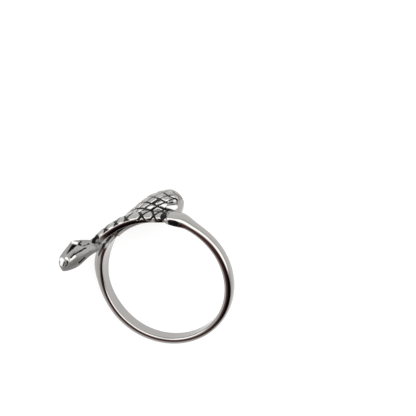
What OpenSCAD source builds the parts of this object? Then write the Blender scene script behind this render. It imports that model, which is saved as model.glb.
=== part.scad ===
// A snake ring, cast in one piece: a plain shank whose left end sweeps under the neck, widens
// into the scaled far coil and hooks back to the shank, and a near coil that leaves the collar at
// the shank's other end, lies beside the far coil and lifts off the finger to the neck and head.
// It lies on its side, with the near rim and the head up. Millimetres.

/* [Finger hole] */
// Inner diameter of the ring
inner_d = 20.4; // [17:0.1:23]

/* [Shank] */
// Width of the band at the back of the finger
shank_w = 2.35; // [2:0.05:3]
// Thickness of the band at the back of the finger
shank_t = 1.2; // [0.9:0.05:1.4]
// Thickness of the smooth collar that the near coil comes out of
collar_t = 1.95; // [1.75:0.05:2.3]

/* [Coils] */
// Width of the far coil where it is fattest
far_w = 5.3; // [4.6:0.1:5.8]
// Thickness of the far coil where it is fattest
far_t = 2.5; // [2:0.1:3]
// Width of the near coil where it is fattest
near_w = 3.6; // [3.2:0.1:4]
// Thickness of the near coil where it is fattest
near_t = 1.6; // [1.3:0.1:2]

/* [Scales] */
// Length of a scale as a share of its width on the coil
scale_share = 1.6; // [1.2:0.1:2]
// Height of the scales' relief
scale_relief = 0.24; // [0.1:0.02:0.3]

/* [Head] */
// Length of the head from the neck to the snout
head_len = 6.2; // [5.5:0.1:7]
// Height of the head at the brow
head_h = 4; // [3.4:0.1:4.4]
// Width of the head across the cheeks
head_w = 4.2; // [3.6:0.1:4.8]

/* [Rest] */
// Lean of the ring as it lies on its side
rest_lean = 26.73; // [0:0.01:30]
// Direction that the ring leans to, round the finger hole
rest_turn = 66.08; // [0:0.01:359]
// Height of the near rim's centre above the table as it lies
rest_rise = 7.162; // [0:0.001:12]
// Place of the near rim's centre beside the middle of the ring's box
rest_place = [-2.227, 1.437]; // [-6:0.001:6]

/* [Hidden] */
silver = [0.78, 0.77, 0.75];
inner_r = inner_d / 2;
// Radius at which lengths round the finger are measured
mid_r = inner_r + 1;
deg_per_mm = 180 / PI / mid_r;
// How far the strands reach into the finger hole before it is cut
undercut = 0.45;
// Plain side wall below the scales
side_wall = 0.35;
// Width of a coil under which its scales get no shorter
slim_w = 3.1;
// Steps of the mesh along and across one scale, an even number
scale_steps = 6;
// Steps in which a scaled strand is measured
fine_steps = 160;

// Columns of the strand tables: the near edge's angle round the finger from +X and its distance
// below the near rim, the same two for the far edge, then the thickness, the lift off the finger,
// the share of the scales' relief and how boxy the section is
NEAR_ANGLE = 0;
NEAR_DOWN = 1;
FAR_ANGLE = 2;
FAR_DOWN = 3;
THICK = 4;
LIFT = 5;
SCALES = 6;
BOXY = 7;

// The shank, from the collar's blunt end round the back of the finger to the left shoulder
shank = [
    [-58.4, 0.5, -58.4, 2.9, 1.3, 0, 0, 0],
    [-58.9, 0.2, -58.9, 3.3, collar_t - 0.25, 0, 0, 0],
    [-60.5, 0.05, -60.5, 3.5, collar_t, 0, 0, 0],
    [-66, 0, -66, 3.5, collar_t, 0, 0, 0],
    [-74, 0, -74, 3.15, 1.7, 0, 0, 0],
    [-83, 0, -83, 2.85, 1.4, 0, 0, 0.1],
    [-95, 0, -95, shank_w + 0.2, shank_t + 0.05, 0, 0, 0.3],
    [-115, 0, -115, shank_w + 0.05, shank_t, 0, 0, 0.5],
    [-140, 0, -140, shank_w, shank_t, 0, 0, 0.75],
    [-165, 0, -165, shank_w + 0.05, shank_t, 0, 0, 0.9],
    [-190, 0, -190, shank_w + 0.05, shank_t, 0, 0, 1],
    [-215, 0, -215, shank_w - 0.05, shank_t, 0, 0, 1],
    [-240, 0, -240, shank_w - 0.1, shank_t, 0, 0, 1],
    [-262, 0, -262, shank_w - 0.05, shank_t, 0, 0, 1],
    [-281, 0, -281, shank_w + 0.15, shank_t, 0, 0, 1],
    [-298, 0, -298, shank_w + 0.2, shank_t, 0, 0, 1],
    [-311, 0, -311, 2.5, 1.3, 0, 0, 0.9],
    [-318, 0.02, -318, 2.5, 1.4, 0, 0, 0.8],
    [-328, 0.2, -328, 2.6, 1.35, 0, 0, 0.5]
];

// The far coil, from the left shoulder under the neck to the hook that ends behind the collar
far_coil = [
    [42, 0, 41, 2.55, 1.42, 0.04, 0, 0.8],
    [35, -0.05, 34, 2.8, 1.55, 0.2, 0, 0.6],
    [26, -0.15, 25, 3.45, 1.7, 0.4, 0, 0.4],
    [16, -0.2, 15, 4.35, 1.6, 0.55, 0, 0.2],
    [9, 0, 6, 5.1, 1.35, 0.6, 0, 0],
    [2, 0.8, -3, 5.8, 1.2, 0.5, 0, 0],
    [-6, 1.9, -12, 6.8, 1.25, 0.3, 0.4, 0],
    [-15, 2.8, -21, 7.7, 1.5, 0.1, 0.8, 0],
    [-25, 3.3, -29, 3.3 + 0.96 * far_w, 1.85, 0, 1, 0],
    [-34, 3.5, -37, 3.6 + 1.06 * far_w, 2.3, 0, 1, 0],
    [-42, 3.6, -44, 3.7 + 1.15 * far_w, far_t, 0, 1, 0],
    [-49, 3.75, -49.5, 3.75 + 1.18 * far_w, far_t + 0.1, 0, 1, 0],
    [-54, 4.3, -54.5, 3.5 + 1.1 * far_w, far_t - 0.05, 0, 1, 0],
    [-57.3, 4.9, -59.3, 8.1, 2.2, 0, 0.8, 0],
    [-59.3, 4.9, -63.4, 6.9, 1.95, 0, 0.3, 0],
    [-60.2, 4.3, -65.4, 5.5, 1.7, 0, 0, 0],
    [-60.6, 3.4, -65.6, 4, 1.45, 0, 0, 0],
    [-61, 2.4, -65, 2.4, 1.25, 0, 0, 0]
];

// The near coil, from the neck, inside the head, to inside the collar
near_coil = [
    [11, -2.95, 14, -0.75, 1.55, 2.3, 0.2, 0],
    [7, -2.55, 9.5, -0.2, 1.5, 1.85, 0.5, 0],
    [2, -2.1, 4, 0.4, 1.4, 1.55, 0.8, 0],
    [-3.5, -1.7, -2.5, 1.1, 1.4, 1.35, 0.9, 0],
    [-10, -1.25, -10, 1.9, near_t - 0.2, 1.1, 1, 0],
    [-18, -0.85, -18, 2.6, near_t - 0.2, 0.85, 1, 0],
    [-26, -0.55, -26, near_w - 0.6, near_t - 0.2, 0.6, 1, 0],
    [-34, -0.3, -34, near_w - 0.3, near_t - 0.1, 0.35, 1, 0],
    [-42, -0.1, -42, near_w, near_t, 0.1, 1, 0],
    [-50, -0.05, -50, near_w, near_t, 0, 1, 0],
    [-56, 0.1, -56, 3.4, 1.35, 0, 0.6, 0],
    [-60, 0.25, -60, 3.2, 1.15, 0, 0, 0],
    [-68, 0.3, -68, 3.1, 1.1, 0, 0, 0]
];

// The tongue of the shank under the near coil, from its round tip to under the collar
spur = [
    [-7, 0.65, -7, 1.1, 0.3, 0, 0, 0],
    [-8.2, 0.35, -8.2, 1.4, 0.5, 0, 0, 0],
    [-11, 0.2, -11, 1.6, 0.65, 0, 0, 0],
    [-18, 0.1, -18, 1.75, 0.75, 0, 0, 0],
    [-28, 0.05, -28, 1.9, 0.8, 0, 0, 0],
    [-36, 0.05, -36, 2, 0.8, 0, 0, 0],
    [-48, 0.05, -48, 2.1, 0.8, 0, 0, 0],
    [-60, 0.1, -60, 2.1, 0.8, 0, 0, 0]
];

// A point of a table between its rows, on a smooth curve through them
function blend(a, b, c, d, f) =
    0.5 * (2 * b + (c - a) * f + (2 * a - 5 * b + 4 * c - d) * f * f
    + (3 * b - a - 3 * c + d) * f * f * f);
function row(table, i) = table[max(0, min(len(table) - 1, i))];
function at(table, t) =
    let(i = min(floor(t), len(table) - 2))
    blend(row(table, i - 1), row(table, i), row(table, i + 1), row(table, i + 2), t - i);

// The strand's edges and middle laid out flat, in millimetres
function near_edge(r) = [r[NEAR_ANGLE] / deg_per_mm, r[NEAR_DOWN]];
function far_edge(r) = [r[FAR_ANGLE] / deg_per_mm, r[FAR_DOWN]];
function middle(r) = (near_edge(r) + far_edge(r)) / 2;
function width(r) = norm(far_edge(r) - near_edge(r));
function unit(v) = v / norm(v);

// Places along a table, in rows, for evenly spread rings
function even(table, steps) = [for (i = [0:steps]) (len(table) - 1) * i / steps];

// Places along a table for rings that follow its scales, scale_steps of them to each
function by_scale(table, rows) =
    let(
        places = even(table, fine_steps),
        mids = [for (t = places) middle(at(table, t))],
        sizes = [for (t = places) scale_share * max(width(at(table, t)), slim_w) / rows],
        counted = [for (i = 0, sum = 0;
            i < len(places);
            i = i + 1, sum = sum + norm(mids[min(i, fine_steps)] - mids[i - 1]) / sizes[i - 1])
            [sum, places[i]]],
        total = counted[fine_steps][0]
    )
    concat([for (m = [0:floor(total * scale_steps)]) lookup(m / scale_steps, counted)],
        [len(table) - 1]);

// Relief of the diamond scales: none along two families of crossing lines, full between them
function relief(along, across) =
    let(a = abs(sin(180 * (along + across))), b = abs(sin(180 * (along - across))))
    scale_relief * pow(a * b, 0.4);

// A point of the section at a turn of 0 to 360 degrees, as its share of the way from the near to
// the far edge and its height: the dome up to 180, then the underside
function dome(r, turn, along, rows) =
    let(
        half = width(r) / 2,
        c = sign(cos(turn)) * pow(abs(cos(turn)), 0.9 - 0.25 * r[BOXY]),
        h = pow(max(0, sin(turn)), 0.8 - 0.15 * r[BOXY]),
        bump = r[SCALES] * min(1, 2.2 * h) * relief(along, rows * turn / 180),
        out = unit([c * (r[THICK] - side_wall), h * half]),
        spot = [c * half, side_wall + h * (r[THICK] - side_wall)] + bump * out
    )
    [0.5 - spot[0] / half / 2, spot[1]];
function underside(turn) =
    [0.5 + 0.46 * cos(turn - 180), -undercut * pow(sin(turn - 180), 0.5)];
function section(r, along, rows, up, under) =
    concat(
        [for (j = [0:up]) dome(r, 180 * j / up, along, rows)],
        [for (j = [1:under]) underside(180 + 180 * j / (under + 1))]
    );

// The flat layout wrapped round the finger
function wrap(spot, height) =
    let(angle = spot[0] * deg_per_mm, r = inner_r + height)
    [r * cos(angle), r * sin(angle), -spot[1]];
function ring_at(table, t, along, rows, up, under) =
    let(r = at(table, t))
    [for (p = section(r, along, rows, up, under))
        wrap(near_edge(r) + p[0] * (far_edge(r) - near_edge(r)), r[LIFT] + p[1])];

// Steps of the mesh from a place to the nearest line of the scales' net
function away(n) =
    let(m = abs(n) % scale_steps)
    min(m, scale_steps - m);

// A solid through rings of points, with a flat cap at each end. Each cell is split along the
// direction of the nearest line of the scales' net
module skin(rings) {
    sides = len(rings[0]);
    last = len(rings) - 1;
    points = [for (ring = rings) each ring];
    walls = [for (i = [0:last - 1], j = [0:sides - 1])
        let(a = i * sides + j, b = i * sides + (j + 1) % sides, c = a + sides, d = b + sides)
        each away(i + j + 1) < away(i - j) ? [[a, b, c], [b, d, c]] : [[a, b, d], [a, d, c]]];
    caps = [[for (j = [0:sides - 1]) sides - 1 - j], [for (j = [0:sides - 1]) last * sides + j]];
    polyhedron(points, concat(walls, caps), convexity = 8);
}

module plain_strand(table, steps, up, under) {
    skin([for (t = even(table, steps)) ring_at(table, t, 0, 0, up, under)]);
}

module scaled_strand(table, rows, under) {
    places = by_scale(table, rows);
    up = rows * scale_steps;
    skin([for (i = [0:len(places) - 1])
        ring_at(table, places[i], i / scale_steps, rows, up, under)]);
}

// Columns of the head table: the place along the head, the top and the underside above and below
// its centre line, and the half width, as shares of the head's length, height and width
ALONG = 0;
TOP = 1;
BELOW = 2;
HALF = 3;
head_rows = [
    [-0.22, 0.1, 0.12, 0.16],
    [-0.12, 0.22, 0.2, 0.25],
    [-0.02, 0.33, 0.25, 0.31],
    [0.1, 0.45, 0.27, 0.42],
    [0.24, 0.58, 0.3, 0.5],
    [0.4, 0.67, 0.34, 0.5],
    [0.5, 0.6, 0.355, 0.47],
    [0.62, 0.53, 0.35, 0.42],
    [0.75, 0.45, 0.335, 0.36],
    [0.86, 0.36, 0.3, 0.29],
    [0.94, 0.24, 0.255, 0.22],
    [0.985, 0.1, 0.2, 0.13],
    [1, 0, 0.12, 0.05]
];
head_place = [12.3, 1.95, 1.5];
head_turn = [101.8, -24.1, 63.7];

function head_ring(r, sides) =
    let(top = r[TOP] * head_h, below = r[BELOW] * head_h, half = r[HALF] * head_w)
    [for (j = [0:sides - 1])
        let(
            turn = -360 * j / sides,
            c = sign(cos(turn)) * pow(abs(cos(turn)), 0.8),
            s = sign(sin(turn)) * pow(abs(sin(turn)), 0.9)
        )
        [r[ALONG] * head_len, c * half, s > 0 ? s * top : s * below]];

module bead(place, d) {
    translate(place) sphere(d = d, $fn = 12);
}

// A rounded bar from one place to another
module bar(from, to, d) {
    hull() {
        bead(from, d);
        bead(to, d);
    }
}

// The brow over each eye, the hollow in front of it and the line of the mouth
module brow(hand) {
    bar([1.4, hand * 1.1, 1.8], [2.5, hand * 1.05, 2.25], 0.6);
}
module eye_hollow(hand) {
    hull() {
        bead([2.2, hand * 2.1, 1.5], 0.8);
        bead([2.75, hand * 1.8, 1.9], 0.7);
        bead([4.3, hand * 1.5, 1.1], 0.35);
    }
}
module mouth_line(hand) {
    bar([0.6, hand * 1.8, 0.62], [1.8, hand * 2.15, 0.5], 0.3);
    bar([1.8, hand * 2.15, 0.5], [3.2, hand * 2, 0.36], 0.3);
    bar([3.2, hand * 2, 0.36], [4.7, hand * 1.52, 0.1], 0.3);
    bar([4.7, hand * 1.52, 0.1], [5.95, hand * 0.55, -0.1], 0.3);
}

module head() {
    sides = 22;
    steps = 24;
    last = len(head_rows) - 1;
    translate(head_place) rotate(head_turn)
        difference() {
            union() {
                skin([for (i = [0:steps]) head_ring(at(head_rows, last * i / steps), sides)]);
                for (hand = [-1, 1]) brow(hand);
            }
            for (hand = [-1, 1]) {
                eye_hollow(hand);
                mouth_line(hand);
            }
        }
}

// The slot between the hook and the collar, which slants in towards the finger
module slot() {
    outer = inner_r + 1.9;
    hull() {
        bead([outer * cos(-57), outer * sin(-57), -2.3], 0.5);
        bead([outer * cos(-62), outer * sin(-62), -2.7], 1.1);
        bead([inner_r * cos(-49.5), inner_r * sin(-49.5), -7], 0.5);
        bead([inner_r * cos(-55.5), inner_r * sin(-55.5), -7], 1.1);
    }
}

module snake_ring() {
    color(silver)
    translate([rest_place[0], rest_place[1], rest_rise])
    rotate([0, 0, rest_turn]) rotate([0, rest_lean, 0]) rotate([0, 0, -rest_turn])
        difference() {
            union() {
                plain_strand(shank, 50, 12, 3);
                difference() {
                    scaled_strand(far_coil, 4, 5);
                    slot();
                }
                scaled_strand(near_coil, 3, 4);
                plain_strand(spur, 14, 8, 3);
                head();
            }
            finger_hole();
        }
}

module finger_hole() {
    translate([0, 0, -20]) cylinder(h = 40, r = inner_r, $fn = 96);
}

snake_ring();
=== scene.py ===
import bpy
import numpy as np
from mathutils import Matrix
from mathutils.bvhtree import BVHTree
from mathutils.kdtree import KDTree


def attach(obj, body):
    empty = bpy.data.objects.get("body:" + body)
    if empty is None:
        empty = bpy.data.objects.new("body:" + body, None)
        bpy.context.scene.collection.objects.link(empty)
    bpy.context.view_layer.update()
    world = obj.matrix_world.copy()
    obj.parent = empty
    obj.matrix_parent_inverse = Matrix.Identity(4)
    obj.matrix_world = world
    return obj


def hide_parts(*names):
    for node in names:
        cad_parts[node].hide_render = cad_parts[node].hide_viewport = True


# a silver snake ring lying on its side, seen from above
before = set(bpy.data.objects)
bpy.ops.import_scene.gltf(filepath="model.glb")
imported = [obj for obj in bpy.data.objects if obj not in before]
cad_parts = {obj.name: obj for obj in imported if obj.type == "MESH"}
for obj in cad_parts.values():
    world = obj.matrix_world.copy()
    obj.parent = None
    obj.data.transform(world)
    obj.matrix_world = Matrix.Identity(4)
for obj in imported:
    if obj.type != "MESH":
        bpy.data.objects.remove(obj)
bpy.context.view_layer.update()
bpy.ops.object.select_all(action="DESELECT")
print("loaded the frame")

# the ring's own frame: millimetres, near rim at height 0, angles round the finger from +X
rest = {
    "lean": 26.73,         # degrees
    "turn": 66.08,
    "rise": 7.162,         # mm
    "place": (-2.227, 1.437),
}
hole = {"radius": 10.2}
millimetre = 0.001
lengthRadius = hole["radius"] + 1      # where lengths round the finger are measured

turnMatrix = Matrix.Rotation(np.radians(rest["turn"]), 3, "Z")
leanMatrix = Matrix.Rotation(np.radians(rest["lean"]), 3, "Y")
restMatrix = np.array(turnMatrix @ leanMatrix @ turnMatrix.transposed())
restShift = np.array([*rest["place"], rest["rise"]])


def lieDown(points):
    # from the ring's own frame to its place on the table, in metres
    return (points @ restMatrix.T + restShift) * millimetre


# Strands. Each row: near edge's angle and distance below the near rim, the same two for the far
# edge, thickness, lift off the finger, share of the scales' relief, height of the side wall,
# squareness of the section (0 is half round) and share of the fine lines along the strand
shankAndFarCoil = {
    "rows": [
        (-58.4, 0.12, -58.4, 2.7, 0.8, 0, 0, 0.35, 0.3, 0),        # collar
        (-58.9, 0, -58.9, 3.05, 1.2, -0.02, 0, 0.35, 0.6, 0),
        (-60.5, -0.1, -60.5, 3.2, 1.38, -0.05, 0, 0.35, 0.8, 0),
        (-65, -0.15, -65, 3.3, 1.43, -0.1, 0, 0.35, 0.8, 0),
        (-70, -0.1, -70, 3.35, 1.53, -0.08, 0, 0.35, 0.4, 0),
        (-75, 0, -75, 3.05, 1.4, 0, 0, 0.35, -0.2, 0),
        (-82, 0, -82, 2.6, 1.22, 0, 0, 0.35, -0.2, 0),
        (-90, 0, -90, 2.4, 1.19, -0.04, 0, 0.35, 0, 0),
        (-105, 0, -105, 2.35, 1.27, -0.09, 0, 0.35, 0.3, 0),       # shank
        (-120, 0, -120, 2.35, 1.31, -0.11, 0, 0.4, 0.5, 0),
        (-140, 0, -140, 2.35, 1.31, -0.11, 0, 0.45, 0.75, 0),
        (-165, 0, -165, 2.45, 1.29, -0.04, 0, 0.45, 0.9, 0),
        (-185, 0, -185, 2.45, 1.23, 0, 0, 0.45, 1, 0),
        (-215, 0, -215, 2.3, 1.2, 0, 0, 0.45, 1, 0),
        (-240, 0, -240, 2.25, 1.2, 0, 0, 0.45, 1, 0),
        (-262, 0, -262, 2.3, 1.2, 0, 0, 0.45, 1, 0),
        (-281, 0, -281, 2.5, 1.2, 0, 0, 0.45, 1, 0),
        (-298, 0, -298, 2.55, 1.2, 0, 0, 0.45, 1, 0),
        (-311, 0, -311, 2.5, 1.3, 0.02, 0, 0.45, 0.9, 0),          # left shoulder
        (-318, 0, -319, 2.55, 1.42, 0.05, 0, 0.45, 0.8, 0),
        (-325, -0.05, -326, 2.8, 1.6, 0.12, 0, 0.45, 0.6, 0),
        (-334, -0.15, -335, 3.45, 1.8, 0.25, 0, 0.4, 0.4, 0),
        (-344, -0.2, -345, 4.35, 1.75, 0.37, 0, 0.35, 0.2, 0),
        (-351, 0, -354, 5.1, 1.5, 0.42, 0, 0.35, 0, 0),
        (-358, 0.8, -363, 5.8, 1.3, 0.35, 0.3, 0.35, 0, 0),        # far coil
        (-366, 1.6, -372, 6.8, 1.3, 0.2, 0.7, 0.35, 0, 0),
        (-375, 2.2, -381, 7.7, 1.5, 0.05, 1, 0.35, 0, 0),
        (-385, 2.5, -389, 8.45, 1.85, 0, 1, 0.35, 0, 0),
        (-394, 2.6, -397, 9.25, 2.3, 0, 1, 0.35, 0, 0),
        (-402, 2.65, -404, 9.75, 2.5, 0, 1, 0.35, 0, 0),
        (-409, 2.75, -409.5, 10, 2.6, 0, 1, 0.35, 0, 0),
        (-414, 3.4, -414.5, 9.35, 2.45, 0, 1, 0.35, 0, 0),
        (-417.3, 4.9, -419.3, 8.1, 2.2, 0, 0.8, 0.35, 0, 0.4),     # hook
        (-419.3, 4.9, -423.4, 6.9, 1.95, 0, 0.3, 0.35, 0, 1),
        (-420.2, 4.3, -425.4, 5.5, 1.7, 0, 0, 0.35, 0, 1),
        (-420.6, 3.4, -425.6, 4, 1.45, 0, 0, 0.35, 0, 1),
        (-421, 2.4, -425, 2.4, 1.25, 0, 0, 0.35, 0, 1),
    ],
    # grooves cross where both counts are whole: along by angle, across by turn over the section
    "crossings": [(-353.3, -5), (-461.3, 5)], "scaleRows": 5.7, "firstRow": -0.923,
    "relief": 0.2,             # mm, height of the scales
    # radius of the near inner edge by angle
    "nearRound": [(-425, 0.16), (-345, 0.16), (-318, 0.36), (-180, 0.4), (-150, 0.25), (-125, 0.14),
                  (-100, 0.1)],
    # share of the section where the grooves start, by angle
    "fadeBelow": [(-425, 0.02), (-60, 0.02)],
    # blackened hollows: angle, its reach, turn as a share of the section, its reach, strength; the
    # first, on the collar's near side, is no hollow but a painted dark reflection
    "blots": [(-66, 6, 0.05, 0.12, 1), (-404.8, 1.8, 0.25, 0.03, 1), (-407.3, 1.9, 0.28, 0.03, 1)],
    "blackness": (0.9, 0.6),   # of the grooves, next to the finger and on the crown
    "satin": [(0, 0)],         # finish by angle: 0 polished, 1 satin
    "inside": 0,               # mm off the finger, so that no two inner faces coincide
    "across": 110,             # points over the section
    "plainStep": 0.32, "scaledStep": 0.075,        # mm between rings of points
}
nearCoil = {
    "rows": [
        (11, -2.95, 14, -0.75, 1.55, 2.3, 0.7, 0.35, 0, 1),        # neck, inside the head
        (7, -2.55, 9.5, -0.2, 1.5, 1.85, 0.8, 0.35, 0, 1),
        (2, -2.1, 4, 0.4, 1.4, 1.55, 0.9, 0.35, 0, 0.7),
        (-3.5, -1.7, -2.5, 1.1, 1.4, 1.35, 1, 0.35, 0, 0),
        (-10, -1.25, -10, 1.8, 1.35, 1.1, 1, 0.35, 0, 0),
        (-18, -0.85, -18, 2.35, 1.3, 0.85, 1, 0.35, 0, 0),
        (-26, -0.55, -26, 2.7, 1.25, 0.6, 1, 0.35, 0, 0),
        (-34, -0.3, -34, 2.9, 1.25, 0.35, 1, 0.35, 0, 0),
        (-42, -0.1, -42, 2.9, 1.15, 0.1, 1, 0.35, 0, 0),
        (-50, -0.05, -50, 2.9, 1.1, 0, 1, 0.35, 0, 0),
        (-56, 0.1, -56, 2.75, 1, 0, 0.8, 0.35, 0, 0),
        (-60, 0.25, -60, 2.6, 0.9, 0, 0, 0.35, 0, 0),              # inside the collar
        (-68, 0.3, -68, 2.6, 0.9, 0, 0, 0.35, 0, 0),
    ],
    "crossings": [(17, -3), (9, -2), (1, -1), (-8.2, 0), (-17.1, 1), (-25.1, 2), (-38.1, 3),
                  (-48, 4), (-57.5, 5)],
    "scaleRows": 1.05, "firstRow": -0.3, "relief": 0.13,
    "nearRound": [(-68, 0.1), (14, 0.1)],
    "fadeBelow": [(-68, 0.02), (-36, 0.02), (-30, 0.14), (14, 0.14)],
    "blots": [(-55.8, 2.7, 0.32, 0.36, 1), (-51, 6.5, 0.59, 0.06, 1), (1, 4, 0.2, 0.26, 0.7)],
    "blackness": (0.9, 0.9),
    "satin": [(-6, 0), (0, 1)],
    "inside": 0.03, "across": 84, "plainStep": 0.2, "scaledStep": 0.07,
}
spurTongue = {
    "rows": [
        (-7, 0.65, -7, 1.1, 0.3, 0, 0, 0.15, 0, 0),                # round tip
        (-8.2, 0.35, -8.2, 1.4, 0.5, 0, 0, 0.25, 0, 0),
        (-11, 0.2, -11, 1.6, 0.65, 0, 0, 0.35, 0, 0),
        (-18, 0.1, -18, 1.75, 0.75, 0, 0, 0.35, 0, 0),
        (-28, 0.05, -28, 1.9, 0.8, 0, 0, 0.35, 0, 0),
        (-36, 0.05, -36, 2, 0.8, 0, 0, 0.35, 0, 0),
        (-48, 0.05, -48, 2.1, 0.8, 0, 0, 0.35, 0, 0),
        (-60, 0.1, -60, 2.1, 0.8, 0, 0, 0.35, 0, 0),               # under the collar
    ],
    "crossings": None, "relief": 0, "nearRound": [(-60, 0.3), (-7, 0.3)], "blots": [],
    "satin": [(0, 0)],
    "inside": 0.015, "across": 30, "plainStep": 0.2, "scaledStep": 0.2,
}
coreGap = 0.02                 # mm from the collar's surface to its core
collarCore = {
    # fills what the slot's cutter takes from the collar
    "rows": [(row[0], row[1] + coreGap, row[2], row[3] - coreGap, row[4] - coreGap, *row[5:])
             for row in shankAndFarCoil["rows"][:7]],
    "crossings": None, "relief": 0, "nearRound": [(-95, 0.1), (-58, 0.1)],
    "blots": shankAndFarCoil["blots"],
    "satin": [(0, 0)],
    "inside": 0.005, "across": 100, "plainStep": 0.2, "scaledStep": 0.2,
}
scales = {
    # distances from a groove's middle, as shares of a scale
    "groove": (0.05, 0.2),     # the groove's wall
    "black": (0.09, 0.15),     # where its tarnish ends
    "pillow": 0.3,             # share of the relief that is the plate's own bulge
    "fade": 0.06,              # share of the section over which the grooves start
    "lowAndCrown": (0.28, 0.48),       # shares where the two values of blackness hold
    "blackSoon": 3,            # tarnish of the grooves for each share of the relief
    "blotEdge": 0.5,           # soft edge of a blackened hollow
    "blotWear": 0.5,           # share of the relief that is gone in one
}
section = {
    "sideMost": 0.5,           # side wall, as a share of the thickness
    "acrossPower": (0.9, 0.25),        # of a half round section, and what squareness takes off
    "upPower": (0.8, 0.15),
    "clearSoon": 2.2,          # how soon the relief starts beside the finger
    "samples": 3000,           # along a strand, to measure it
    "detailSoon": 8,           # how soon the rings of points close up where the relief starts
}
edges = {
    "round": 0.16,             # mm, far inner edge
    "roundMost": 0.3,          # share of the thickness
    "nearMost": 0.5,           # the same for the near inner edge
    "corner": 8,               # points round an inner edge
    "under": 5,                # points across the underside
}
# fine lines along the hook and the neck, depth in mm
fineLines = {"count": 9, "depth": 0.07, "sharpness": 0.6, "black": 0.6}


def blendRows(rows, places):
    # points of a table between its rows, on a smooth curve through them
    rows = np.array(rows, float)
    last = len(rows) - 1
    start = np.minimum(np.floor(places).astype(int), last - 1)
    f = (places - start)[:, None]
    a, b, c, d = (rows[np.clip(start + k, 0, last)] for k in (-1, 0, 1, 2))
    return 0.5 * (2 * b + (c - a) * f + (2 * a - 5 * b + 4 * c - d) * f ** 2
                  + (3 * b - a - 3 * c + d) * f ** 3)


def edgesOf(rows):
    # a strand's near and far edges laid out flat, in millimetres
    flat = np.radians(rows[:, [0, 2]]) * lengthRadius
    return np.stack([flat[:, 0], rows[:, 1]], 1), np.stack([flat[:, 1], rows[:, 3]], 1)


def smoothStep(x):
    x = np.clip(x, 0, 1)
    return x * x * (3 - 2 * x)


def ramp(x, limits):
    return smoothStep((x - limits[0]) / (limits[1] - limits[0]))


def fromTable(x, table):
    # values between the places of a short table
    return np.interp(x, *np.array(table, float).T)


def scaleHeight(strand, angle, turn):
    # flat plates between two families of crossing grooves: each point's height, 0 in a groove and
    # 1 on a plate, and its tarnish
    if not strand["crossings"]:
        return np.ones_like(angle), np.zeros_like(angle)
    along = fromTable(angle, strand["crossings"][::-1])
    across = strand["scaleRows"] * turn / np.pi + strand["firstRow"]
    a, b = (0.5 - np.abs((along + sign * across) % 1 - 0.5) for sign in (1, -1))
    away = np.minimum(a, b)
    plate = (1 - scales["pillow"]) * ramp(away, scales["groove"])
    height = plate + scales["pillow"] * 2 * np.sqrt(a * b)
    fade = fromTable(angle, strand["fadeBelow"])
    shown = smoothStep((turn / np.pi - fade) / scales["fade"] + 0.5)
    black = np.interp(turn / np.pi, scales["lowAndCrown"], strand["blackness"])
    return 1 - (1 - height) * shown, black * (1 - ramp(away, scales["black"])) * shown


# blackened hollows, and on the collar's near side a painted dark reflection
def blotDarkness(strand, angle, turn):
    black = np.zeros_like(angle)
    for middle, reach, across, spread, strength in strand["blots"]:
        away = ((angle - middle) / reach) ** 2 + ((turn / np.pi - across) / spread) ** 2
        black = np.maximum(black, strength * smoothStep((1 - away) / scales["blotEdge"]))
    return black


def strandSpots(strand):
    # places of the rings along a strand's table, close together where it has scales
    fine = np.linspace(0, len(strand["rows"]) - 1, section["samples"])
    rows = blendRows(strand["rows"], fine)
    near, far = edgesOf(rows)
    steps = np.linalg.norm(np.diff((near + far) / 2, axis=0), axis=1)
    detailed = np.clip((rows[1:, 6] + rows[1:, 9]) * section["detailSoon"], 0, 1)
    spacing = strand["plainStep"] + (strand["scaledStep"] - strand["plainStep"]) * detailed
    rings = np.concatenate([[0], np.cumsum(steps / spacing)])
    return np.interp(np.linspace(0, rings[-1], int(rings[-1]) + 1), rings, fine)


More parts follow.
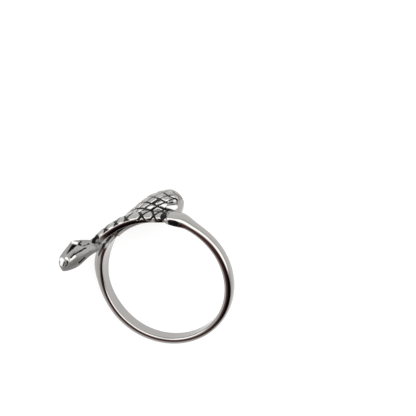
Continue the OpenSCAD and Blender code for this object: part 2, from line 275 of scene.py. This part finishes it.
def strandSurface(strand):
    # rings of points along the strand, with each point's darkening (tarnish, and on the collar a
    # painted dark reflection) and satin finish
    rows = blendRows(strand["rows"], strandSpots(strand))
    near, far = edgesOf(rows)
    width = np.linalg.norm(far - near, axis=1)[:, None]
    half = width / 2
    thick, lift, share, side, square, lines = (rows[:, [k]] for k in range(4, 10))
    side = np.minimum(side, thick * section["sideMost"])

    # over the strand, from its near edge to its far one
    turn = np.linspace(0, np.pi, strand["across"])[None, :]
    acrossPower, upPower = (plain - less * square
                            for plain, less in (section["acrossPower"], section["upPower"]))
    c = np.sign(np.cos(turn)) * np.abs(np.cos(turn)) ** acrossPower
    h = np.maximum(np.sin(turn), 0) ** upPower
    clear = np.minimum(1, section["clearSoon"] * h)        # no relief next to the finger
    angle = np.degrees((near[:, :1] + (1 - c) / 2 * (far - near)[:, :1]) / lengthRadius)
    turned = turn + 0 * angle
    plate, black = scaleHeight(strand, angle, turned)
    blots = blotDarkness(strand, angle, turned)
    ridges = np.abs(np.sin(fineLines["count"] * turn)) ** fineLines["sharpness"]
    bump = clear * (share * strand["relief"] * plate * (1 - scales["blotWear"] * blots)
                    + lines * fineLines["depth"] * ridges)
    outX, outY = c * (thick - side), h * half
    size = np.hypot(outX, outY)
    domeX = half - c * half - bump * outX / size
    domeY = side + h * (thick - side) + bump * outY / size

    # the far inner edge, the flat underside and the near inner edge
    bend = np.linspace(0, np.pi / 2, edges["corner"] + 1)[None, :]
    flat = np.linspace(0, 1, edges["under"] + 2)[None, 1:-1]
    rim = np.minimum(edges["round"], thick * edges["roundMost"])
    nearRim = np.minimum(fromTable(rows[:, [0]], strand["nearRound"]), thick * edges["nearMost"])
    farX = width - rim + rim * np.cos(bend)
    farY = rim - rim * np.sin(bend)
    underX = width - rim - flat * (width - rim - nearRim)
    nearX = nearRim - nearRim * np.sin(bend[:, :-1])
    nearY = nearRim - nearRim * np.cos(bend[:, :-1])
    x = np.concatenate([domeX, farX, underX, nearX], 1)
    y = np.concatenate([domeY, farY, underX * 0, nearY], 1) + lift + strand["inside"]
    grooves = np.minimum(1, scales["blackSoon"] * share) * black
    hollows = fineLines["black"] * clear * lines * (1 - ridges)
    depth = np.zeros_like(x)
    depth[:, :strand["across"]] = np.maximum(blots, grooves + hollows)
    depth[:, -edges["corner"]:] = blots[:, :1]

    spot = near[:, None] + (x / width)[:, :, None] * (far - near)[:, None]
    angle = spot[:, :, 0] / lengthRadius
    reach = hole["radius"] + y
    points = np.stack([reach * np.cos(angle), reach * np.sin(angle), -spot[:, :, 1]], 2)
    return points, depth, fromTable(np.degrees(angle), strand["satin"])


# The head, in its own frame: along the head to the snout, towards the camera's side, up
headPlace = {"at": (12.3, 1.95, 1.5), "turn": (101.8, -24.1, 63.7)}
head = {
    # along, top, bottom, half width, all in mm
    "rows": [
        (-1.5, 0.3, -0.35, 0.5),
        (-0.9, 0.85, -0.75, 0.95),
        (-0.2, 1.35, -0.82, 1.25),
        (0.6, 1.85, -0.82, 1.65),
        (1.5, 2.3, -0.94, 1.98),
        (2.5, 2.66, -1.2, 2.08),
        (3.1, 2.42, -1.33, 2),
        (3.9, 2.1, -1.42, 1.8),
        (4.7, 1.76, -1.34, 1.52),
        (5.35, 1.42, -1.2, 1.24),
        (5.85, 0.9, -1.02, 0.9),
        (6.1, 0.35, -0.85, 0.52),
        (6.17, -0.1, -0.6, 0.12),
    ],
    "samples": 800,            # to measure its length
    "lengthwise": 130, "around": 110,      # points
    "sidePower": 0.8, "upPower": 0.9,      # of the section's curve
    "marksSoon": 2.2,          # how soon the marks start beside the head's middle line
    # height of the line between the lips, along the head
    "lips": [(0.2, 0.7), (0.9, 0.6), (3.08, 0.56), (3.76, 0.38), (4.2, 0.15), (5.2, 0),
             (6.2, -0.2)],
    # the jaw's step in under the lips: soft edge, start along the head, fade, depth
    "lipEdge": 0.12, "jawFrom": 0.1, "jawOver": 0.8, "jawInset": 0.12,
    # corners of the hollow under the brow
    "hollow": [(2.62, 2.3), (1.85, 1.7), (4.15, 1.2)], "hollowDepth": 0.5, "hollowEdge": 0.13,
    # lines cut into both sides: places, half width, depth, tarnish; the last is not cut, and its
    # tarnish is painted shade
    "strokes": [
        ([(0.9, 0.6), (1.5, 0.59), (2.3, 0.56), (3.08, 0.55), (3.76, 0.38)],   # mouth
         0.12, 0.1, 0.7),
        ([(5.02, 0.33), (5.25, 0.1), (5.5, -0.14)], 0.09, 0.12, 0.85),         # folds of the snout
        ([(4.5, 0.2), (4.61, -0.08), (4.88, -0.39), (5.23, -0.48)], 0.09, 0.12, 0.85),
        ([(1.14, 1.91), (1.64, 1.74), (1.36, 1.41)], 0.13, 0.16, 1),           # eye
        ([(1.1, 1.05), (0.2, 0.92)], 0.14, 0.06, 0.65),                        # cheek
        ([(3.03, -1.1), (1.84, -0.85)], 0.14, 0.04, 0.85),                     # jaw's lower edge
        ([(2.9, 0.95), (1.7, 1.2)], 0.3, 0, 0.45),         # painted shade under the hollow, not cut
    ],
    "strokeReach": 1.6,        # how far a line's soft edge goes, in half widths
    # painted highlights: places made bright, and half width
    "paintedHighlight": [
        ([(5.3, 0.85), (5.2, 0.6), (5.6, 0.15)], 0.29),                        # snout
        ([(4.44, 0.66), (4.2, 0.05), (3.04, 0.22)], 0.17),                     # along the lips
        ([(2.4, 2.45), (1.8, 1.95)], 0.14),                                    # brow
    ],
}


def triangleMask(x, z, corners, edge):
    # 1 inside the triangle, falling to 0 over its edge
    inside = np.full(x.shape, 1e9)
    for k in range(3):
        (px, pz), (qx, qz), (ox, oz) = (corners[(k + m) % 3] for m in range(3))
        length = np.hypot(qx - px, qz - pz)
        away = ((qx - px) * (z - pz) - (qz - pz) * (x - px)) / length
        third = ((qx - px) * (oz - pz) - (qz - pz) * (ox - px)) / length
        inside = np.minimum(inside, away * np.sign(third))
    return smoothStep(inside / edge + 0.5)


def strokeMask(x, z, places, half):
    # 1 on a line through the places, falling to 0 beside it
    away = np.full(x.shape, 1e9)
    for (px, pz), (qx, qz) in zip(places, places[1:]):
        runX, runZ = qx - px, qz - pz
        share = ((x - px) * runX + (z - pz) * runZ) / (runX ** 2 + runZ ** 2)
        share = np.clip(share, 0, 1)
        away = np.minimum(away, np.hypot(x - px - share * runX, z - pz - share * runZ))
    return smoothStep(head["strokeReach"] - away / half)


def headSurface():
    # rings of points from the neck to the snout, with each point's tarnish (painted shade under the
    # hollow too) and satin finish, above 1 a painted highlight
    fine = np.linspace(0, len(head["rows"]) - 1, head["samples"])
    rows = blendRows(head["rows"], fine)
    travel = np.concatenate([[0], np.cumsum(np.hypot(np.diff(rows[:, 0]), np.diff(rows[:, 1])))])
    spots = np.interp(np.linspace(0, travel[-1], head["lengthwise"]), travel, fine)
    rows = blendRows(head["rows"], spots)
    along, top, bottom, half = (rows[:, [k]] for k in range(4))
    turn = np.linspace(0, 2 * np.pi, head["around"], endpoint=False)[None, :]
    c, s = np.cos(turn), np.sin(turn)
    y = half * np.sign(c) * np.abs(c) ** head["sidePower"]
    z = np.where(s > 0, top, bottom) * np.abs(s) ** head["upPower"]
    x = along + 0 * turn
    line = fromTable(x, head["lips"])

    # direction outwards, and 0 on the head's middle line to 1 on its sides
    outY = y / half ** 2
    outZ = z / np.where(z > 0, top, bottom) ** 2
    size = np.hypot(outY, outZ) + 1e-9
    outY, outZ = outY / size, outZ / size
    sideways = smoothStep(np.abs(outY) * head["marksSoon"])

    # the jaw lies a little inside the lips, and a hollow lies under the brow
    below = smoothStep((line - z) / head["lipEdge"] + 0.5)
    below = below * smoothStep((x - head["jawFrom"]) / head["jawOver"])
    depth = triangleMask(x, z, head["hollow"], head["hollowEdge"]) * sideways
    inward = head["jawInset"] * below * sideways + head["hollowDepth"] * depth
    for places, half, cut, black in head["strokes"]:
        stroke = strokeMask(x, z, places, half) * sideways
        inward = inward + cut * stroke
        depth = np.maximum(depth, black * stroke)
    # painted highlights: satin above 1 brightens the colour
    satin = np.ones_like(x)
    for places, half in head["paintedHighlight"]:
        satin = np.maximum(satin, 1 + strokeMask(x, z, places, half) * sideways)
    y, z = y - inward * outY, z - inward * outZ
    local = np.stack([x, y, z], 2)[:, ::-1]
    turns = [Matrix.Rotation(np.radians(a), 3, axis)
             for a, axis in zip(headPlace["turn"], "XYZ")]
    matrix = np.array(turns[2] @ turns[1] @ turns[0])
    return local @ matrix.T + np.array(headPlace["at"]), depth[:, ::-1], satin[:, ::-1]


def makeActive(piece):
    bpy.ops.object.select_all(action="DESELECT")
    piece.select_set(True)
    bpy.context.view_layer.objects.active = piece


def faceOutwards(piece):
    makeActive(piece)
    bpy.ops.object.mode_set(mode="EDIT")
    bpy.ops.mesh.select_all(action="SELECT")
    bpy.ops.mesh.normals_make_consistent(inside=False)
    bpy.ops.object.mode_set(mode="OBJECT")


def closedSkin(name, rings, depth, satin):
    # a closed skin through rings of points, with its darkening (tarnish, painted shade and a
    # painted dark reflection) and satin finish (painted highlights above 1) kept for later
    count, sides = rings.shape[:2]
    index = np.arange(count * sides).reshape(count, sides)
    a, b = index[:-1], np.roll(index, -1, 1)[:-1]
    c, d = index[1:], np.roll(index, -1, 1)[1:]
    faces = np.stack([a, b, d, c], 2).reshape(-1, 4).tolist()
    faces += [index[0, ::-1].tolist(), index[-1].tolist()]
    placed = lieDown(rings.reshape(-1, 3))
    mesh = bpy.data.meshes.new(name)
    mesh.from_pydata(placed.tolist(), [], faces)
    piece = bpy.data.objects.new(name, mesh)
    bpy.context.collection.objects.link(piece)
    faceOutwards(piece)
    formMarks.append((placed, depth.reshape(-1), satin.reshape(-1)))
    print("made", name, len(faces), "faces")
    return piece


def combine(body, other, operation):
    makeActive(body)
    bpy.ops.object.modifier_add(type="BOOLEAN")
    body.modifiers[-1].operation = operation
    body.modifiers[-1].solver = "MANIFOLD"
    body.modifiers[-1].object = other
    bpy.ops.object.modifier_apply(modifier=body.modifiers[-1].name)
    bpy.data.objects.remove(other)


# the slot between the hook and the collar slants in towards the finger
slotBalls = [
    # angle, distance below the near rim, distance from the finger's axis, diameter
    (-56, 2.5, 12.1, 0.5),
    (-61, 2.95, 12.1, 1.15),
    (-48.5, 7.2, 10.2, 0.5),
    (-54.5, 7.2, 10.2, 1.15),
]


def slotCutter():
    balls = []
    for angle, down, reach, size in slotBalls:
        a = np.radians(angle)
        middle = lieDown(np.array([reach * np.cos(a), reach * np.sin(a), -down]))
        bpy.ops.mesh.primitive_uv_sphere_add(segments=24, ring_count=12, location=middle,
                                             radius=size / 2 * millimetre)
        balls.append(bpy.context.object)
    bpy.ops.object.select_all(action="DESELECT")
    for ball in balls:
        ball.select_set(True)
    bpy.context.view_layer.objects.active = balls[0]
    bpy.ops.object.join()
    bpy.ops.object.transform_apply(location=True)
    bpy.ops.object.mode_set(mode="EDIT")
    bpy.ops.mesh.select_all(action="SELECT")
    bpy.ops.mesh.convex_hull()
    bpy.ops.object.mode_set(mode="OBJECT")
    cutter = bpy.context.object
    faceOutwards(cutter)
    return cutter


sharpestSmooth = 50            # degrees between faces that are shaded as one surface
formMarks = []                 # each form's points, darkening (tarnish and painted dark marks) and satin finish (painted highlights above 1)
ring = closedSkin("snakeRing", *strandSurface(shankAndFarCoil))
combine(ring, slotCutter(), "DIFFERENCE")
for name, surface in (("collarCore", strandSurface(collarCore)),
                      ("nearCoil", strandSurface(nearCoil)),
                      ("spurTongue", strandSurface(spurTongue)),
                      ("snakeHead", headSurface())):
    combine(ring, closedSkin(name, *surface), "UNION")
makeActive(ring)
bpy.ops.object.shade_smooth_by_angle(angle=np.radians(sharpestSmooth))
print("joined the ring", len(ring.data.polygons), "faces")

# darkening: tarnish and painted dark marks from the nearest point of the forms that were joined,
# and painted shade from how closed in a point is
crease = {
    "rays": 28,
    "start": 0.00002,      # metres above the surface, where a ray starts
    "reach": 0.0013,       # metres, beyond which nothing shuts a point in
    "open": 0.36,          # share of blocked rays from which the painted shade starts
    "full": 0.62,
}


def nearestMarks(mesh):
    # darkening (tarnish and painted dark marks) and satin finish (painted highlights above 1) of
    # the nearest point of the forms that were joined
    points, tarnishAndPaintedDark, satin = (np.concatenate(kind) for kind in zip(*formMarks))
    tree = KDTree(len(points))
    for i, point in enumerate(points):
        tree.insert(point, i)
    tree.balance()
    nearest = [tree.find(v.co)[1] for v in mesh.vertices]
    return tarnishAndPaintedDark[nearest], satin[nearest]


def creaseShade(mesh):
    # painted shade in the creases, from the share of rays from each point that soon meet the ring
    # again
    tree = BVHTree.FromPolygons([v.co for v in mesh.vertices],
                                [p.vertices for p in mesh.polygons])
    golden = np.pi * (3 - 5 ** 0.5)        # angle that spreads the rays evenly
    k = np.arange(crease["rays"]) + 0.5
    height = np.sqrt(1 - k / crease["rays"])
    flat = np.sqrt(k / crease["rays"])
    rays = np.stack([flat * np.cos(golden * k), flat * np.sin(golden * k), height], 1)
    blocked = np.zeros(len(mesh.vertices))
    for i, v in enumerate(mesh.vertices):
        turn = np.array(v.normal.to_track_quat("Z", "Y").to_matrix())
        start = v.co + v.normal * crease["start"]
        for ray in rays @ turn.T:
            if tree.ray_cast(start, ray, crease["reach"])[0] is not None:
                blocked[i] += 1
    share = blocked / crease["rays"]
    return np.clip((share - crease["open"]) / (crease["full"] - crease["open"]), 0, 1)


darkeningValues, satinAndHighlightValues = nearestMarks(ring.data)
for name, values in (("tarnishAndPaintedDark", darkeningValues), ("satin", satinAndHighlightValues),
                     ("crease", creaseShade(ring.data))):
    layer = ring.data.attributes.new(name, "FLOAT", "POINT")
    layer.data.foreach_set("value", values.astype(np.float32))
print("measured grooves and creases")


def addNode(tree, kind, place, **values):
    node = tree.nodes.new(kind)
    node.location = place
    for key, value in values.items():
        setattr(node, key, value)
    return node


polishAndPaintedLight = {
    "cloudScale": 900, "cloudDetail": 3,           # unevenness of the tarnish's edge
    "tarnishFrom": 0.9, "tarnishFull": 1.25,       # tarnish and cloud added up
    "satinColour": (0.2, 0.195, 0.19, 1), "satinShare": 0.5,
    "paintedHighlightColour": (0.85, 0.84, 0.83, 1),         # painted highlight, where the satin is above 1
    "scratchDetail": 2,
    "polishRoughness": (0.07, 0.15),
    "tarnishRoughness": 0.35, "satinRoughness": 0.55,      # added to the polish's
}


def polishGroup():
    # polish with tarnish in the grooves, painted shade in the creases and painted highlights, fine
    # scratches, and a roughness to match
    group = bpy.data.node_groups.new("polishAndPaintedLight", "ShaderNodeTree")
    for name, kind in (("Metal", "NodeSocketColor"), ("Tarnish Colour", "NodeSocketColor"),
                       ("TarnishAndPaintedDark", "NodeSocketFloat"), ("Satin", "NodeSocketFloat"),
                       ("Scratch Scale", "NodeSocketFloat")):
        group.interface.new_socket(name=name, in_out="INPUT", socket_type=kind)
    for name, kind in (("Colour", "NodeSocketColor"), ("Roughness", "NodeSocketFloat"),
                       ("Height", "NodeSocketFloat")):
        group.interface.new_socket(name=name, in_out="OUTPUT", socket_type=kind)
    given = addNode(group, "NodeGroupInput", (-800, 0))
    out = addNode(group, "NodeGroupOutput", (600, 0))
    where = addNode(group, "ShaderNodeTexCoord", (-800, -300))
    link = group.links.new

    # satin finish, up to 1, and a painted highlight above 1
    satin = addNode(group, "ShaderNodeMath", (-500, 400), operation="MINIMUM")
    satin.inputs[1].default_value = 1
    highlightAmount = addNode(group, "ShaderNodeMath", (-300, 500), operation="SUBTRACT", use_clamp=True)
    highlightAmount.inputs[1].default_value = 1
    share = addNode(group, "ShaderNodeMath", (-300, 300), operation="MULTIPLY")
    share.inputs[1].default_value = polishAndPaintedLight["satinShare"]
    grey = addNode(group, "ShaderNodeMix", (-100, 300), data_type="RGBA")
    grey.inputs["B"].default_value = polishAndPaintedLight["satinColour"]
    paintedHighlight = addNode(group, "ShaderNodeMix", (0, 300), data_type="RGBA")
    paintedHighlight.inputs["B"].default_value = polishAndPaintedLight["paintedHighlightColour"]
    link(given.outputs["Satin"], satin.inputs[0])
    link(given.outputs["Satin"], highlightAmount.inputs[0])
    link(satin.outputs[0], share.inputs[0])
    link(share.outputs[0], grey.inputs["Factor"])
    link(given.outputs["Metal"], grey.inputs["A"])
    link(highlightAmount.outputs[0], paintedHighlight.inputs["Factor"])
    link(grey.outputs["Result"], paintedHighlight.inputs["A"])

    # tarnish and painted shade, with an uneven edge
    cloud = addNode(group, "ShaderNodeTexNoise", (-600, -250))
    cloud.inputs["Scale"].default_value = polishAndPaintedLight["cloudScale"]
    cloud.inputs["Detail"].default_value = polishAndPaintedLight["cloudDetail"]
    uneven = addNode(group, "ShaderNodeMath", (-400, -100), operation="ADD")
    edge = addNode(group, "ShaderNodeMapRange", (-200, 0), interpolation_type="SMOOTHSTEP")
    edge.inputs["From Min"].default_value = polishAndPaintedLight["tarnishFrom"]
    edge.inputs["From Max"].default_value = polishAndPaintedLight["tarnishFull"]
    mix = addNode(group, "ShaderNodeMix", (100, 100), data_type="RGBA")
    link(where.outputs["Object"], cloud.inputs["Vector"])
    link(cloud.outputs["Fac"], uneven.inputs[0])
    link(given.outputs["TarnishAndPaintedDark"], uneven.inputs[1])
    link(uneven.outputs[0], edge.inputs["Value"])
    link(edge.outputs["Result"], mix.inputs["Factor"])
    link(paintedHighlight.outputs["Result"], mix.inputs["A"])
    link(given.outputs["Tarnish Colour"], mix.inputs["B"])
    link(mix.outputs["Result"], out.inputs["Colour"])

    # roughness of the scratches, the tarnish and the satin together
    scratch = addNode(group, "ShaderNodeTexNoise", (-400, -500))
    scratch.inputs["Detail"].default_value = polishAndPaintedLight["scratchDetail"]
    rough = addNode(group, "ShaderNodeMapRange", (-100, -300))
    rough.inputs["To Min"].default_value, rough.inputs["To Max"].default_value = (
        polishAndPaintedLight["polishRoughness"])
    dull = addNode(group, "ShaderNodeMath", (200, -200), operation="MULTIPLY_ADD")
    dull.inputs[1].default_value = polishAndPaintedLight["tarnishRoughness"]
    soft = addNode(group, "ShaderNodeMath", (400, -200), operation="MULTIPLY_ADD")
    soft.inputs[1].default_value = polishAndPaintedLight["satinRoughness"]
    link(where.outputs["Object"], scratch.inputs["Vector"])
    link(given.outputs["Scratch Scale"], scratch.inputs["Scale"])
    link(scratch.outputs["Fac"], rough.inputs["Value"])
    link(edge.outputs["Result"], dull.inputs[0])
    link(rough.outputs["Result"], dull.inputs[2])
    link(satin.outputs[0], soft.inputs[0])
    link(dull.outputs[0], soft.inputs[2])
    link(soft.outputs[0], out.inputs["Roughness"])
    link(scratch.outputs["Fac"], out.inputs["Height"])
    return group


silver = {
    "metal": (0.355, 0.345, 0.335, 1),
    # dark colour of the tarnish, also used for painted shade and a painted dark reflection
    "tarnishAndPaintedDark": (0.012, 0.011, 0.012, 1),
    "scratchScale": 2500,
    "scratchDepth": 0.000004,  # metres
    "scratchStrength": 0.3,
}


def silverMaterial():
    material = bpy.data.materials.new("polishedSilver")
    material.use_nodes = True
    tree = material.node_tree
    shader = tree.nodes["Principled BSDF"]
    shader.inputs["Metallic"].default_value = 1
    groove = addNode(tree, "ShaderNodeAttribute", (-900, 50), attribute_name="tarnishAndPaintedDark")
    # painted shade in the creases, joined with the tarnish
    closed = addNode(tree, "ShaderNodeAttribute", (-900, -150), attribute_name="crease")
    most = addNode(tree, "ShaderNodeMath", (-700, 0), operation="MAXIMUM")
    satin = addNode(tree, "ShaderNodeAttribute", (-900, -350), attribute_name="satin")
    polish = addNode(tree, "ShaderNodeGroup", (-450, 100))
    polish.node_tree = polishGroup()
    polish.inputs["Metal"].default_value = silver["metal"]
    polish.inputs["Tarnish Colour"].default_value = silver["tarnishAndPaintedDark"]
    polish.inputs["Scratch Scale"].default_value = silver["scratchScale"]
    bump = addNode(tree, "ShaderNodeBump", (-250, -150))
    bump.inputs["Strength"].default_value = silver["scratchStrength"]
    bump.inputs["Distance"].default_value = silver["scratchDepth"]
    tree.links.new(groove.outputs["Fac"], most.inputs[0])
    tree.links.new(closed.outputs["Fac"], most.inputs[1])
    tree.links.new(most.outputs[0], polish.inputs["TarnishAndPaintedDark"])
    tree.links.new(satin.outputs["Fac"], polish.inputs["Satin"])
    tree.links.new(polish.outputs["Colour"], shader.inputs["Base Color"])
    tree.links.new(polish.outputs["Roughness"], shader.inputs["Roughness"])
    tree.links.new(polish.outputs["Height"], bump.inputs["Height"])
    tree.links.new(bump.outputs["Normal"], shader.inputs["Normal"])
    return material


ring.data.materials.clear()
ring.data.materials.append(silverMaterial())
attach(ring, "root")
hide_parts("snake_ring")
print("finished the ring")

# the floor, the light and the camera
studio = {
    "floorSize": 1.2,
    "floorColour": (0.2, 0.2, 0.2, 1),
    "floorGlow": 0.8,      # backlit, so that it stays white under the ring
    "floorRoughness": 0.7,
    "floorShine": 0.2,
    "lampHeight": 1,
    "lampSize": 2,
    "lampPower": 9,        # watts, seen by the floor and not by the silver
    "tent": (1, 0.99, 0.97),
    # azimuth, degrees from straight up, radius, soft edge, colour
    "patches": [
        (5, 68, 24, 4, (3, 3, 3)),                 # bright windows
        (-45, 45, 24, 4, (3, 3, 3)),
        (-90, 42, 22, 4, (3, 3, 3)),
        (-130, 42, 24, 4, (3, 3, 3)),
        (100, 32, 32, 3, (0.15, 0.065, 0.06)),     # dark red opening
        (125, 45, 26, 6, (0.006, 0.004, 0.004)),   # nearly black ones beside it
        (155, 55, 24, 6, (0.006, 0.004, 0.004)),
    ],
}
picture = {
    "distance": 260,       # mm from the middle of the near rim
    "width": 67,           # mm across the frame at that distance
    "back": (0, -0.462, 0.887),        # directions in the ring's own frame
    "right": (-0.801, -0.531, -0.277),
    "up": (0.599, -0.71, -0.37),
    "shiftRight": 7.2,     # mm
    "shiftUp": 11.86,
    "sensor": 36,          # mm
}

bpy.ops.mesh.primitive_plane_add(size=studio["floorSize"])
floor = bpy.context.object
floor.name = "paleFloor"
paper = bpy.data.materials.new("palePaper")
paper.use_nodes = True
for socket, value in (("Base Color", studio["floorColour"]),
                      ("Roughness", studio["floorRoughness"]),
                      ("Specular IOR Level", studio["floorShine"]),
                      ("Emission Color", (1, 1, 1, 1)),
                      ("Emission Strength", studio["floorGlow"])):
    paper.node_tree.nodes["Principled BSDF"].inputs[socket].default_value = value
floor.data.materials.append(paper)

bpy.ops.object.light_add(type="AREA", location=(0, 0, studio["lampHeight"]))
lamp = bpy.context.object
lamp.name = "overheadLamp"
lamp.data.shape = "DISK"
lamp.data.size = studio["lampSize"]
lamp.data.energy = studio["lampPower"]
lamp.visible_glossy = False


def tentWorld():
    # a light tent with round patches, each with a soft edge, that the silver reflects
    world = bpy.data.worlds.new("lightTent")
    bpy.context.scene.world = world
    world.use_nodes = True
    tree = world.node_tree
    where = addNode(tree, "ShaderNodeTexCoord", (-1200, 0))
    last = addNode(tree, "ShaderNodeRGB", (-1000, 200)).outputs[0]
    last.default_value = (*studio["tent"], 1)
    for k, (azimuth, fromTop, radius, soft, colour) in enumerate(studio["patches"]):
        a, b = np.radians(azimuth), np.radians(fromTop)
        near = addNode(tree, "ShaderNodeVectorMath", (-900 + 250 * k, 0), operation="DOT_PRODUCT")
        near.inputs[1].default_value = (np.sin(b) * np.cos(a), np.sin(b) * np.sin(a), np.cos(b))
        mask = addNode(tree, "ShaderNodeMapRange", (-700 + 250 * k, 0),
                       interpolation_type="SMOOTHSTEP")
        mask.inputs["From Min"].default_value = np.cos(np.radians(radius + soft))
        mask.inputs["From Max"].default_value = np.cos(np.radians(radius - soft))
        mix = addNode(tree, "ShaderNodeMix", (-500 + 250 * k, 200), data_type="RGBA")
        mix.inputs["B"].default_value = (*colour, 1)
        tree.links.new(where.outputs["Generated"], near.inputs[0])
        tree.links.new(near.outputs["Value"], mask.inputs["Value"])
        tree.links.new(mask.outputs["Result"], mix.inputs["Factor"])
        tree.links.new(last, mix.inputs["A"])
        last = mix.outputs["Result"]
    tree.links.new(last, tree.nodes["Background"].inputs["Color"])


def photoCamera():
    right, up, back = (restMatrix @ np.array(picture[k]) for k in ("right", "up", "back"))
    middle = lieDown(np.zeros(3))
    place = middle + millimetre * (picture["distance"] * back + picture["shiftRight"] * right
                                   + picture["shiftUp"] * up)
    lens = bpy.data.cameras.new("photoCamera")
    lens.sensor_width = picture["sensor"]
    lens.lens = lens.sensor_width * picture["distance"] / picture["width"]
    camera = bpy.data.objects.new("photoCamera", lens)
    bpy.context.collection.objects.link(camera)
    directions = np.stack([right, up, back], 1)
    camera.matrix_world = Matrix([[*row, at] for row, at in zip(directions, place)]
                                 + [[0, 0, 0, 1]])
    bpy.context.scene.camera = camera


tentWorld()
photoCamera()
bpy.context.scene.view_settings.view_transform = "Standard"
print("set the floor, the light and the camera")
